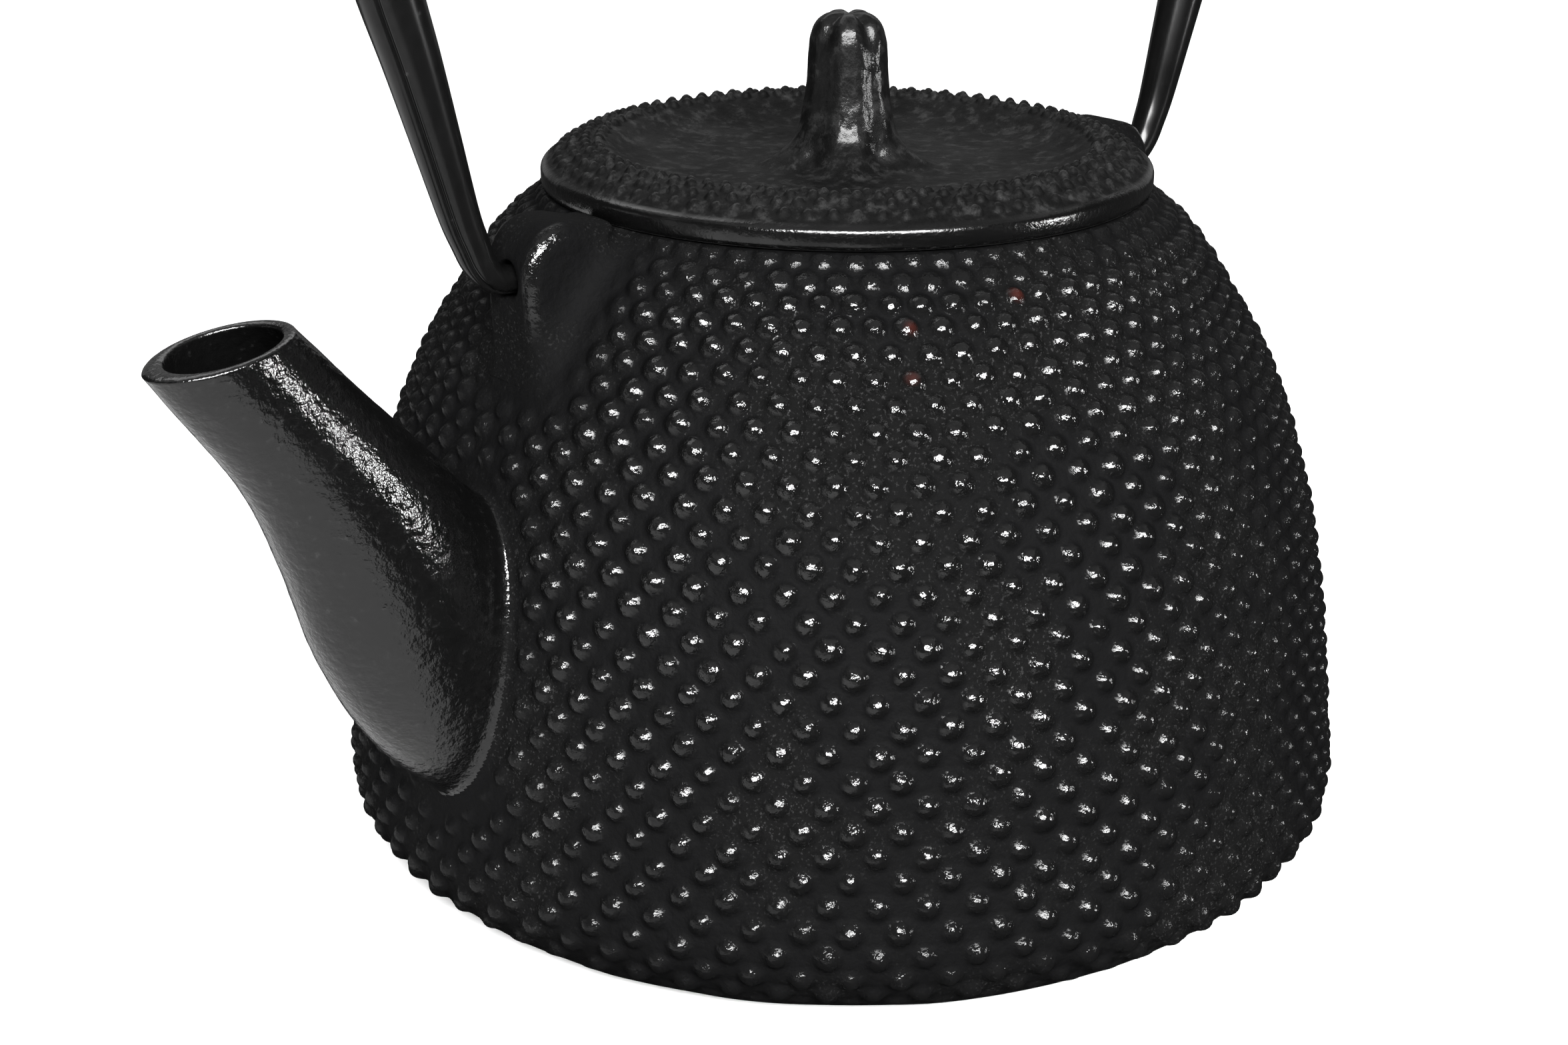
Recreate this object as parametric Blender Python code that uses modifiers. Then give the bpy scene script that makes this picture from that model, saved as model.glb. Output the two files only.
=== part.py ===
"""A cast iron teapot: a low, wide body with two handle lugs, a spout fused on in the casting,
a lift-off lid cast with its knob, a swinging bail handle and a lift-out steel infuser.

Frame: metres, +Z up. The origin is the centre of the flat underside, on the body's axis.
The spout points along -X, and the lugs and the handle stand in the X-Z plane.
"""
import math

import bmesh
import bpy

MM = 0.001

# Driving dimensions, in millimetres.
TURN_STEPS = 48             # facets round a turned piece
GAP = 0.3                   # between pieces that rest on each other

BODY_OUTLINE = [            # radius, height: from the top seat down to the foot
    (43.4, 97.6), (44.8, 96.2), (49.5, 91.6), (53.9, 85.6), (62.3, 71.7), (68.1, 54.8),
    (71.5, 37.8), (73.3, 21.9), (74.4, 12.4), (73.1, 7.6), (69.6, 3.2), (66.0, 0.9),
]
FOOT_RADIUS = 62.0
WALL = 4.0
FLOOR_TOP = 5.0
SEAT_HEIGHT = 97.6
LEDGE_HEIGHT = 90.0         # the infuser's rim hangs here
THROAT = [                  # radius, height: the mouth, the infuser's ledge and its underside
    (40.3, SEAT_HEIGHT + 3.0), (40.3, LEDGE_HEIGHT), (37.0, LEDGE_HEIGHT), (37.0, 87.6),
    (46.0, 87.4),
]
INSIDE_FOOT = [(64.5, 6.4), (60.0, FLOOR_TOP)]

# Spout stations: distance out from the axis, height, radius. The bore follows the same line.
SPOUT_STATIONS = [
    (57.0, 29.0, 17.3), (67.0, 39.8, 16.4), (75.0, 51.8, 15.0), (82.7, 65.4, 12.4),
    (90.7, 77.6, 9.7), (100.6, 90.5, 8.6), (107.5, 99.8, 8.5),
]
SPOUT_SQUASH = 0.88         # the tube is a little narrower than it is deep
SPOUT_WALL_ROOT = 3.6
SPOUT_WALL_TIP = 1.8
SPOUT_MOUTH = (100.6, 90.5)
SPOUT_MOUTH_TILT = 10.0     # degrees: the outer lip is the lower one
MOUTH_CUTTER_SIZE = 60.0

HINGE_HEIGHT = 92.6
LUG_WIDTH = 11.2
LUG_EDGE = 2.0
LUG_OUTLINE = [             # distance out, height: a hood over the hole, tapering into the body
    (45.8, 98.2), (48.5, 99.3), (51.3, 100.0), (54.4, 99.9), (56.8, 98.6), (58.6, 96.2),
    (59.2, 93.6), (59.0, 90.0), (58.6, 85.0), (57.2, 79.5), (50.0, 78.0), (45.8, 88.0),
]
LUG_HOLE_RADIUS = 2.4
LUG_HOLE_DEPTH = 8.2
LUG_FACE = 59.0             # the hole starts here
HOLE_RUNOUT = 4.0           # the drill's length outside the lug

# Handle stations on one side: distance out, height. The other side mirrors them.
HANDLE_STATIONS = [
    (53.6, 92.6), (58.4, 92.6), (61.2, 93.4), (63.1, 95.6), (64.3, 98.3), (65.9, 102.5),
    (68.9, 112.8), (71.8, 122.7), (75.0, 133.0), (78.2, 146.0), (78.8, 160.0), (74.6, 174.5),
    (63.2, 186.5), (46.0, 193.4), (23.5, 196.2), (0.0, 196.8),
]
HANDLE_PIN_RADIUS = 1.9
HANDLE_LOW_RADIUS = 2.5     # at the lug's top
HANDLE_GRIP_RADIUS = 4.9
HANDLE_LOW_HEIGHT = 98.3
HANDLE_GRIP_HEIGHT = 155.0

LID_SECTION = [             # radius, height: the dish, the raised rim, the edge, the flange below
    (0.0, 100.3), (24.0, 100.4), (30.5, 101.2), (34.2, 103.3), (36.0, 104.0), (38.0, 103.8),
    (41.0, 102.5), (43.0, 101.2), (43.7, 100.6), (43.8, 99.9), (43.8, 98.5), (43.3, 97.9),
    (39.0, 97.9), (39.0, 92.0), (36.4, 92.0), (36.0, 96.4), (0.0, 97.2),
]

KNOB_RINGS = [              # height, radius, depth of the flutes as a share of the radius
    (99.0, 13.0, 0.06), (100.8, 12.2, 0.08), (101.6, 10.4, 0.09), (103.0, 8.6, 0.08),
    (105.0, 7.2, 0.07), (107.5, 6.5, 0.06), (111.0, 5.8, 0.05), (114.5, 5.45, 0.06),
    (117.4, 5.2, 0.09), (119.4, 4.7, 0.13), (120.8, 3.7, 0.16), (121.5, 2.2, 0.16),
]
KNOB_LOBES = 5
KNOB_TOP = 121.6
KNOB_SIDES = 40

INFUSER_RIM_RADIUS = 39.6
INFUSER_SHEET = 0.6
INFUSER_WALL_RADIUS = 33.1
INFUSER_SKIRT_DEPTH = 7.0
INFUSER_FLOOR = 34.0

IRON_BLACK = (0.012, 0.012, 0.013, 1.0)
STEEL_GREY = (0.55, 0.55, 0.56, 1.0)


def clear_scene():
    for obj in list(bpy.data.objects):
        bpy.data.objects.remove(obj, do_unlink=True)


def new_collection(name):
    collection = bpy.data.collections.new(name)
    bpy.context.scene.collection.children.link(collection)
    return collection


def new_material(name, color, roughness, metallic):
    material = bpy.data.materials.new(name)
    material.use_nodes = True
    shader = material.node_tree.nodes["Principled BSDF"]
    shader.inputs["Base Color"].default_value = color
    shader.inputs["Roughness"].default_value = roughness
    shader.inputs["Metallic"].default_value = metallic
    return material


def add_object(name, data, collection):
    obj = bpy.data.objects.new(name, data)
    collection.objects.link(obj)
    return obj


def hide_cutter(obj):
    obj.hide_render = True
    obj.display_type = "WIRE"
    return obj


def catmull_rom(points, per_span):
    """A smooth line through the points, with per_span steps between neighbours."""
    last = len(points) - 1
    ends = [tuple(2 * a - b for a, b in zip(points[0], points[1]))]
    tail = [tuple(2 * a - b for a, b in zip(points[last], points[last - 1]))]
    knots = ends + list(points) + tail
    line = []
    for i in range(last):
        p0, p1, p2, p3 = knots[i:i + 4]
        for step in range(per_span):
            t = step / per_span
            line.append(tuple(
                0.5 * (2 * b + (c - a) * t + (2 * a - 5 * b + 4 * c - d) * t ** 2
                       + (3 * b - a - 3 * c + d) * t ** 3)
                for a, b, c, d in zip(p0, p1, p2, p3)))
    line.append(tuple(points[last]))
    return line


def smooth_shading(obj, angle):
    obj.data.shade_smooth()
    obj.data.set_sharp_from_angle(angle=math.radians(angle))


def turned(name, profile, collection, steps=TURN_STEPS):
    """Turn a profile (radius, height in millimetres, top to bottom) about the Z axis."""
    mesh = bpy.data.meshes.new(name)
    points = [(radius * MM, 0.0, height * MM) for radius, height in profile]
    edges = [(i, i + 1) for i in range(len(points) - 1)]
    mesh.from_pydata(points, edges, [])
    obj = add_object(name, mesh, collection)
    screw = obj.modifiers.new("Screw", "SCREW")
    screw.axis = "Z"
    screw.steps = steps
    screw.render_steps = steps
    screw.use_merge_vertices = True
    screw.merge_threshold = 0.00001
    return obj


def to_mesh(curve_object, collection):
    """Replace a curve object by a mesh object with its caps welded on."""
    graph = bpy.context.evaluated_depsgraph_get()
    mesh = bpy.data.meshes.new_from_object(curve_object.evaluated_get(graph))
    work = bmesh.new()
    work.from_mesh(mesh)
    bmesh.ops.remove_doubles(work, verts=work.verts, dist=0.000001)
    bmesh.ops.recalc_face_normals(work, faces=work.faces)
    work.to_mesh(mesh)
    work.free()
    name = curve_object.name
    matrix = curve_object.matrix_world.copy()
    bpy.data.objects.remove(curve_object, do_unlink=True)
    obj = add_object(name, mesh, collection)
    obj.matrix_world = matrix
    return obj


def tube(name, stations, collection, resolution):
    """A round tube through stations of (x, z, radius) in the X-Z plane, in millimetres."""
    curve = bpy.data.curves.new(name, "CURVE")
    curve.dimensions = "3D"
    curve.bevel_depth = MM
    curve.bevel_resolution = resolution
    curve.use_fill_caps = True
    spline = curve.splines.new("POLY")
    spline.points.add(len(stations) - 1)
    for point, (x, z, radius) in zip(spline.points, stations):
        point.co = (x * MM, 0.0, z * MM, 1.0)
        point.radius = radius
    obj = add_object(name, curve, collection)
    bpy.context.view_layer.update()
    return to_mesh(obj, collection)


def flat_plate(name, outline, thickness, collection):
    """An outline in the X-Z plane, thickened along Y."""
    curve = bpy.data.curves.new(name, "CURVE")
    curve.dimensions = "2D"
    curve.fill_mode = "BOTH"
    curve.extrude = 0.5 * thickness * MM
    spline = curve.splines.new("POLY")
    spline.points.add(len(outline) - 1)
    for point, (x, z) in zip(spline.points, outline):
        point.co = (x * MM, z * MM, 0.0, 1.0)
    spline.use_cyclic_u = True
    obj = add_object(name, curve, collection)
    obj.rotation_euler = (math.radians(90), 0.0, 0.0)
    bpy.context.view_layer.update()
    return to_mesh(obj, collection)


def boolean(target, tool, operation):
    modifier = target.modifiers.new(tool.name, "BOOLEAN")
    modifier.operation = operation
    modifier.solver = "EXACT"
    modifier.object = tool


def rod_along_x(name, radius, start, end, height, collection):
    bpy.ops.mesh.primitive_cylinder_add(
        vertices=24, radius=radius * MM, depth=abs(end - start) * MM,
        location=(0.5 * (start + end) * MM, 0.0, height * MM), rotation=(0.0, math.radians(90), 0.0))
    obj = bpy.context.object
    obj.name = name
    for holder in list(obj.users_collection):
        holder.objects.unlink(obj)
    collection.objects.link(obj)
    return hide_cutter(obj)


def body_outside():
    """The outer side of the body, from the axis at the top to the axis at the base."""
    side = catmull_rom(BODY_OUTLINE, 2)
    return [(0.0, SEAT_HEIGHT)] + side + [(FOOT_RADIUS, 0.0), (0.0, 0.0)]


def body_inside():
    """The hollow: mouth, ledge for the infuser, then the wall's thickness in from the side."""
    side = [(radius - WALL, height) for radius, height in BODY_OUTLINE[3:9]]
    top = [(0.0, THROAT[0][1])] + THROAT
    return top + catmull_rom(side, 2) + INSIDE_FOOT + [(0.0, FLOOR_TOP)]


def spout_line(wall_root=0.0, wall_tip=0.0):
    """Stations along the spout, mirrored to -X, with the radius less the wall."""
    stations = catmull_rom(SPOUT_STATIONS, 3)
    count = len(stations) - 1
    line = []
    for i, (out, height, radius) in enumerate(stations):
        wall = wall_root + (wall_tip - wall_root) * i / count
        line.append((-out, height, radius - wall))
    return line


def spout_tube(name, line, collection):
    obj = tube(name, line, collection, 6)
    for vertex in obj.data.vertices:
        vertex.co.y *= SPOUT_SQUASH
    return obj


def mouth_cutter(collection):
    """A block whose lower face cuts the spout's mouth flat."""
    tilt = math.radians(SPOUT_MOUTH_TILT)
    out, height = SPOUT_MOUTH
    bpy.ops.mesh.primitive_cube_add(size=MOUTH_CUTTER_SIZE * MM)
    obj = bpy.context.object
    obj.name = "mouth_cutter"
    obj.rotation_euler = (0.0, -tilt, 0.0)
    half = 0.5 * MOUTH_CUTTER_SIZE
    obj.location = ((-out - half * math.sin(tilt)) * MM, 0.0, (height + half * math.cos(tilt)) * MM)
    for holder in list(obj.users_collection):
        holder.objects.unlink(obj)
    collection.objects.link(obj)
    return hide_cutter(obj)


def lug(name, side, collection):
    """One handle lug: side is -1 over the spout and +1 at the back."""
    outline = [(side * out, height) for out, height in LUG_OUTLINE]
    obj = flat_plate(name, outline, LUG_WIDTH, collection)
    bevel = obj.modifiers.new("Bevel", "BEVEL")
    bevel.width = LUG_EDGE * MM
    bevel.segments = 2
    bevel.limit_method = "ANGLE"
    bevel.angle_limit = math.radians(50)
    return hide_cutter(obj)


def teapot_body(parts, cutters):
    """The pot with its lugs, hollowed, and opened into the spout's bore."""
    body = turned("teapot_body", body_outside(), parts)
    hollow = hide_cutter(turned("hollow_cutter", body_inside(), cutters))
    boolean(body, lug("lug_front", -1, cutters), "UNION")
    boolean(body, lug("lug_back", 1, cutters), "UNION")
    boolean(body, hollow, "DIFFERENCE")
    bore = spout_line(SPOUT_WALL_ROOT, SPOUT_WALL_TIP)
    boolean(body, hide_cutter(spout_tube("body_bore", bore, cutters)), "DIFFERENCE")
    for name, side in (("hole_front", -1), ("hole_back", 1)):
        start, end = side * (LUG_FACE - LUG_HOLE_DEPTH), side * (LUG_FACE + HOLE_RUNOUT)
        hole = rod_along_x(name, LUG_HOLE_RADIUS, start, end, HINGE_HEIGHT, cutters)
        boolean(body, hole, "DIFFERENCE")
    return body


def spout(parts, cutters):
    """The tapered tube from the body's side up to its flat mouth."""
    obj = spout_tube("spout", spout_line(), parts)
    boolean(obj, hide_cutter(turned("body_blank", body_outside(), cutters)), "DIFFERENCE")
    boolean(obj, mouth_cutter(cutters), "DIFFERENCE")
    bore = spout_line(SPOUT_WALL_ROOT, SPOUT_WALL_TIP)
    boolean(obj, hide_cutter(spout_tube("spout_bore", bore, cutters)), "DIFFERENCE")
    return obj


def knob_blank(cutters):
    """The fluted knob, lofted through rings whose radius waves once for each lobe."""
    work = bmesh.new()
    rings = []
    for height, radius, flute in KNOB_RINGS:
        ring = []
        for i in range(KNOB_SIDES):
            angle = 2 * math.pi * i / KNOB_SIDES
            reach = radius * (1.0 + flute * (math.cos(KNOB_LOBES * angle) - 0.5))
            ring.append(work.verts.new((reach * math.cos(angle) * MM, reach * math.sin(angle) * MM,
                                        height * MM)))
        rings.append(ring)
    for low, high in zip(rings, rings[1:]):
        for i in range(KNOB_SIDES):
            j = (i + 1) % KNOB_SIDES
            work.faces.new((low[i], low[j], high[j], high[i]))
    work.faces.new(list(reversed(rings[0])))
    tip = work.verts.new((0.0, 0.0, KNOB_TOP * MM))
    for i in range(KNOB_SIDES):
        work.faces.new((rings[-1][i], rings[-1][(i + 1) % KNOB_SIDES], tip))
    mesh = bpy.data.meshes.new("knob_blank")
    work.to_mesh(mesh)
    work.free()
    return hide_cutter(add_object("knob_blank", mesh, cutters))


def lid(parts, cutters):
    plate = turned("lid", LID_SECTION, parts)
    boolean(plate, knob_blank(cutters), "UNION")
    return plate


def handle_radius(out, height):
    """The handle is thin at its pins and swells to the grip."""
    if out < HANDLE_STATIONS[1][0] and height < HINGE_HEIGHT + 1.0:
        return HANDLE_PIN_RADIUS
    if height < HANDLE_LOW_HEIGHT:
        share = max(0.0, (height - HINGE_HEIGHT) / (HANDLE_LOW_HEIGHT - HINGE_HEIGHT))
        return HANDLE_PIN_RADIUS + (HANDLE_LOW_RADIUS - HANDLE_PIN_RADIUS) * math.sqrt(share)
    share = min(1.0, (height - HANDLE_LOW_HEIGHT) / (HANDLE_GRIP_HEIGHT - HANDLE_LOW_HEIGHT))
    swell = share * (1.2 - 0.2 * share ** 4)
    return HANDLE_LOW_RADIUS + (HANDLE_GRIP_RADIUS - HANDLE_LOW_RADIUS) * swell


def bail_handle(parts):
    half = catmull_rom(HANDLE_STATIONS, 2)
    whole = [(-out, height) for out, height in half] + list(reversed(half))[1:]
    stations = [(x, z, handle_radius(abs(x), z)) for x, z in whole]
    obj = tube("bail_handle", stations, parts, 3)
    for vertex in obj.data.vertices:
        vertex.co.z -= HINGE_HEIGHT * MM
    obj.location = (0.0, 0.0, HINGE_HEIGHT * MM)
    return obj


def infuser(parts):
    """A stamped rim with a short skirt, a rolled wall and a disc, each its own piece."""
    rim_low = LEDGE_HEIGHT + GAP
    rim_top = rim_low + INFUSER_SHEET
    skirt_in = INFUSER_WALL_RADIUS + GAP
    skirt_out = skirt_in + INFUSER_SHEET
    skirt_low = rim_low - INFUSER_SKIRT_DEPTH
    rim = turned("infuser_rim", [
        (skirt_in, rim_top), (INFUSER_RIM_RADIUS, rim_top), (INFUSER_RIM_RADIUS, rim_low),
        (skirt_out, rim_low), (skirt_out, skirt_low), (skirt_in, skirt_low), (skirt_in, rim_top)],
        parts)
    inner = INFUSER_WALL_RADIUS - INFUSER_SHEET
    wall = turned("infuser_wall", [
        (inner, rim_low), (INFUSER_WALL_RADIUS, rim_low), (INFUSER_WALL_RADIUS, INFUSER_FLOOR),
        (inner, INFUSER_FLOOR), (inner, rim_low)], parts)
    disc = inner - GAP
    base = turned("infuser_base", [
        (0.0, INFUSER_FLOOR + INFUSER_SHEET), (disc, INFUSER_FLOOR + INFUSER_SHEET),
        (disc, INFUSER_FLOOR), (0.0, INFUSER_FLOOR)], parts)
    return rim, wall, base


def main():
    clear_scene()
    parts = new_collection("cast_iron_teapot")
    cutters = new_collection("cutters")
    iron = [teapot_body(parts, cutters), spout(parts, cutters), lid(parts, cutters),
            bail_handle(parts)]
    steel = infuser(parts)
    for obj in iron:
        obj.data.materials.append(new_material(obj.name, IRON_BLACK, 0.35, 0.0))
        smooth_shading(obj, 35)
    for obj in steel:
        obj.data.materials.append(new_material(obj.name, STEEL_GREY, 0.3, 1.0))
        smooth_shading(obj, 35)


main()
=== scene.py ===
"""The looks of the cast iron teapot: skin with hailstones, spout, lugs, lid, handle and infuser.

Shapes are worked out in millimetres in the part's own frame and written as meshes in metres.
"""
import math

import bmesh
import bpy
import numpy as np
from mathutils import Matrix, Vector

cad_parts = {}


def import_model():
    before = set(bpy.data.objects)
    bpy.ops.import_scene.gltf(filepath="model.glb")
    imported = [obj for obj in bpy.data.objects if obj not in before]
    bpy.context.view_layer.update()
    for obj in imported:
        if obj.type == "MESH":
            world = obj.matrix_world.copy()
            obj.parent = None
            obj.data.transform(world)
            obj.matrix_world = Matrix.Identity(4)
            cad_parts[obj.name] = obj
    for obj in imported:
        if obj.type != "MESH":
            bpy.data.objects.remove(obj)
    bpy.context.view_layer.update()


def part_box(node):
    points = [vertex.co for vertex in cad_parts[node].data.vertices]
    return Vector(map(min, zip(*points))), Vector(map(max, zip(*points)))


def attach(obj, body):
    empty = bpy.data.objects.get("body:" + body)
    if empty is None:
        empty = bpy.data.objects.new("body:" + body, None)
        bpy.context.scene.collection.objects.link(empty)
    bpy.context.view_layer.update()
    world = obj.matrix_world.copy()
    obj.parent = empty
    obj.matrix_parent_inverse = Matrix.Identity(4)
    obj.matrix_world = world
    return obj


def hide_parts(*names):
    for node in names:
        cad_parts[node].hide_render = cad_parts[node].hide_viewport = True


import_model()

MM = 0.001
TAU = 2.0 * math.pi

# --- The body, as in the CAD: radius and height from the seat down to the foot.
BODY_OUTLINE = [
    (43.4, 97.6), (44.8, 96.2), (49.5, 91.6), (53.9, 85.6), (62.3, 71.7), (68.1, 54.8),
    (71.5, 37.8), (73.3, 21.9), (74.4, 12.4), (73.1, 7.6), (69.6, 3.2), (66.0, 0.9),
]
SKIN_INSET = 0.35           # the ground between the hailstones lies this far inside the CAD
FOOT_RADIUS = 62.0
MOUTH_RADIUS = 40.3
SEAT_HEIGHT = 97.6
LEDGE_HEIGHT = 90.0
LEDGE_RADIUS = 37.0
WALL = 4.0
FLOOR_TOP = 5.0

# --- Hailstones.
HAIL_PER_ROW = 72
HAIL_ROW_STEP = 3.40
HAIL_FIRST_ROW = 1.0        # along the outline from the seat's edge
HAIL_ROWS = 33
HAIL_HEIGHT = 1.1
HAIL_REACH = 1.85           # radius of a stone's foot
HAIL_SKIRT = 0.30           # height of the blend round the foot
HAIL_GAP_TO_SPOUT = (2.0, 5.0)      # distances between which the stones die out
HAIL_GAP_TO_LUG = (2.2, 7.5)
HAIL_GAP_TO_FLOOR = (2.2, 7.0)
GLOSSY_AZIMUTH = math.radians(232.0)    # the stones are glossiest here and on the opposite face
GLOSSY_HEIGHT = 66.0
GLOSSY_SPREAD = 38.0
RIPPLE = 0.10               # slow unevenness of the casting
SKIN_COLUMNS = 14 * HAIL_PER_ROW
SKIN_ROW_STEP = 0.38
RUSTY_STONES = [(236.2, 89.1), (256.1, 93.0), (236.0, 83.3)]      # azimuth in degrees, height

# --- The spout: distance out from the axis, height, radius.
SPOUT_STATIONS = [
    (46.0, 25.0, 15.5), (57.0, 32.4, 16.6), (67.2, 41.0, 16.9), (75.2, 52.0, 15.5),
    (82.7, 65.4, 12.4),
    (90.7, 77.6, 9.7), (100.6, 90.5, 8.6), (107.5, 99.8, 8.5),
]
SPOUT_SQUASH = 0.88
ROOT_SQUASH = 0.70          # narrower still where it joins the body
SPOUT_WALL_ROOT = 3.6
SPOUT_WALL_TIP = 1.75
BORE_SQUASH = 0.96          # the bore is rounder than the tube at the mouth
SPOUT_MOUTH = (100.6, 90.5)
SPOUT_MOUTH_TILT = math.radians(10.0)
SPOUT_BLEND = 2.0
SPOUT_LIP = 0.35
BORE_SHIFT = 0.45           # the outer lip is thicker than the lip on the body's side
SPOUT_COLUMNS = 240
SPOUT_ROWS = 300

# --- The lugs: distance out, height.
HINGE_HEIGHT = 92.6
LUG_OUTLINE = [
    (45.8, 98.2), (48.5, 99.3), (51.3, 100.0), (54.4, 99.9), (56.8, 98.6), (58.6, 96.2),
    (59.2, 93.6), (59.0, 90.0), (58.6, 85.0), (57.2, 79.5), (50.0, 78.0), (45.8, 88.0),
]
LUG_WIDTH = 11.2
LUG_ROUND = 2.2
LUG_BLEND = 5.0
LUG_FACE = 59.0
LUG_HOLE_RADIUS = 2.4
LUG_HOLE_DEPTH = 8.2

# --- The lid and its knob.
LID_UNDERSIDE = 97.9
LID_TOP = [                 # radius, height: the dish and the raised rim
    (3.0, 100.3), (14.0, 100.3), (24.0, 100.4), (30.5, 101.2), (34.2, 103.1), (36.2, 103.75),
    (38.2, 103.55), (41.0, 102.35), (42.8, 101.3),
]
LID_EDGE = [
    (43.25, 101.0), (43.55, 100.75), (43.72, 100.45), (43.8, 100.1), (43.8, 99.2), (43.78, 98.6),
    (43.6, 98.15), (43.2, LID_UNDERSIDE),
]
BEADS_PER_ROW = 82
BEAD_ROWS = [(35.5, 1.0), (37.5, 1.0), (39.5, 1.0), (41.4, 0.8)]      # radius, strength
BEAD_RADIUS = 0.86
BEAD_HEIGHT = 0.80
BEADED_LENGTH = 10.5        # of the lid's outline, inward from its edge
KNOB_LOBES = 5
KNOB_TURN = math.radians(228.0)
KNOB_OUTLINE = [            # radius, height: from the foot in the dish to the dimple on top
    (14.5, 100.15), (12.0, 100.4), (10.0, 101.2), (8.3, 102.9), (7.1, 105.2), (6.4, 108.2),
    (5.9, 111.8), (5.65, 115.5), (5.4, 118.2), (4.6, 120.3), (3.0, 121.5), (1.2, 121.55),
    (0.15, 121.2),
]

# --- The handle: distance out, height.
HANDLE_STATIONS = [
    (53.6, 92.6), (58.4, 92.6), (61.2, 93.4), (63.1, 95.6), (64.3, 98.3), (65.9, 102.5),
    (68.9, 112.8), (71.8, 122.7), (75.0, 133.0), (78.2, 146.0), (78.8, 160.0), (74.6, 174.5),
    (63.2, 186.5), (46.0, 193.4), (23.5, 196.2), (0.0, 196.8),
]
HANDLE_PIN_RADIUS = 1.9
HANDLE_LOW_RADIUS = 2.5
HANDLE_GRIP_RADIUS = 4.9
HANDLE_LOW_HEIGHT = 98.3
HANDLE_GRIP_HEIGHT = 155.0
SEAM_TURN = math.radians(38.0)
SEAM_DEPTH = 0.55
SEAM_WIDTH = 0.28
SEAM_HALF = [0.025, 0.05, 0.09, 0.16, 0.3, 0.5, 0.9]      # angles of the closer columns at it

# --- The infuser's mesh.
WIRE = 0.42
MESH_COLUMNS = 148
MESH_ROWS = 40
MESH_PITCH = 1.5


# ---------------------------------------------------------------- curves and noise
def catmull_rom(points, per_span):
    """A smooth line through the points, with per_span steps between neighbours."""
    points = np.asarray(points, float)
    knots = np.vstack([2 * points[0] - points[1], points, 2 * points[-1] - points[-2]])
    t = (np.arange(per_span) / per_span)[:, None]
    spans = []
    for i in range(len(points) - 1):
        a, b, c, d = knots[i:i + 4]
        spans.append(0.5 * (2 * b + (c - a) * t + (2 * a - 5 * b + 4 * c - d) * t ** 2
                            + (3 * b - a - 3 * c + d) * t ** 3))
    return np.vstack(spans + [points[-1:]])


def arc_length(line):
    steps = np.linalg.norm(np.diff(line[:, :2], axis=0), axis=1)
    return np.concatenate([[0.0], np.cumsum(steps)])


def resample(line, at):
    along = arc_length(line)
    return np.stack([np.interp(at, along, line[:, i]) for i in range(line.shape[1])], axis=1)


def smooth_step(low, high, x):
    t = np.clip((x - low) / (high - low), 0.0, 1.0)
    return t * t * (3.0 - 2.0 * t)


def hashed(a, b, salt):
    """A repeatable number from -1 to 1 for each pair of whole numbers."""
    raw = np.sin(a * 127.1 + b * 311.7 + salt * 74.7) * 43758.5453
    return 2.0 * (raw - np.floor(raw)) - 1.0


def waves(points, scale, seed, octaves=3):
    """Smooth noise from -1 to 1, as a sum of waves in seeded directions, scale in millimetres."""
    rng = np.random.default_rng(seed)
    total = np.zeros(len(points))
    for octave in range(octaves):
        for _ in range(7):
            direction = rng.normal(size=3)
            direction *= TAU / (scale / 2 ** octave * np.linalg.norm(direction) * rng.uniform(0.7, 1.4))
            total += np.sin(points @ direction + rng.uniform(0, TAU)) * 0.5 ** octave
    return total / 5.0


# ---------------------------------------------------------------- distances, in millimetres
SIDE = catmull_rom(BODY_OUTLINE, 24)
SIDE[:, 0] -= SKIN_INSET
SIDE_UP = SIDE[::-1]
SIDE_SLOPE = np.gradient(SIDE_UP[:, 0], SIDE_UP[:, 1])


def body_distance(p):
    """Distance to the turned body, negative inside."""
    reach = np.hypot(p[:, 0], p[:, 1])
    radius = np.interp(p[:, 2], SIDE_UP[:, 1], SIDE_UP[:, 0])
    slope = np.interp(p[:, 2], SIDE_UP[:, 1], SIDE_SLOPE)
    return (reach - radius) / np.sqrt(1.0 + slope ** 2)


SPOUT_LINE = catmull_rom(SPOUT_STATIONS, 40)


def tube_squash(share):
    """Width over depth of the spout's tube, from its root (0) to its end (1)."""
    return ROOT_SQUASH + (SPOUT_SQUASH - ROOT_SQUASH) * smooth_step(0.29, 0.73, share)


def spout_distance(p):
    """Distance to the spout's outside, as balls strung along its line."""
    found = np.empty(len(p))
    centre = np.stack([-SPOUT_LINE[:, 0], SPOUT_LINE[:, 1]], axis=1)
    squash = tube_squash(np.linspace(0.0, 1.0, len(centre)))
    for start in range(0, len(p), 8000):
        part = p[start:start + 8000]
        gap = np.sqrt((part[:, None, 0] - centre[None, :, 0]) ** 2
                      + (part[:, None, 2] - centre[None, :, 1]) ** 2
                      + (part[:, None, 1] / squash[None, :]) ** 2) - SPOUT_LINE[None, :, 2]
        found[start:start + 8000] = gap.min(axis=1)
    return found


def polygon_distance(x, z, outline):
    """Signed distance to a closed outline in a plane, negative inside."""
    nearest = np.full(len(x), 1e9)
    inside = np.zeros(len(x), bool)
    count = len(outline)
    for i in range(count):
        ax, az = outline[i]
        bx, bz = outline[(i + 1) % count]
        ex, ez = bx - ax, bz - az
        t = np.clip(((x - ax) * ex + (z - az) * ez) / (ex * ex + ez * ez), 0.0, 1.0)
        nearest = np.minimum(nearest, np.hypot(x - ax - t * ex, z - az - t * ez))
        crosses = (az > z) != (bz > z)
        with np.errstate(divide="ignore", invalid="ignore"):
            inside ^= crosses & (x < ax + (z - az) * ex / ez)
    return np.where(inside, -nearest, nearest)


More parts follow.
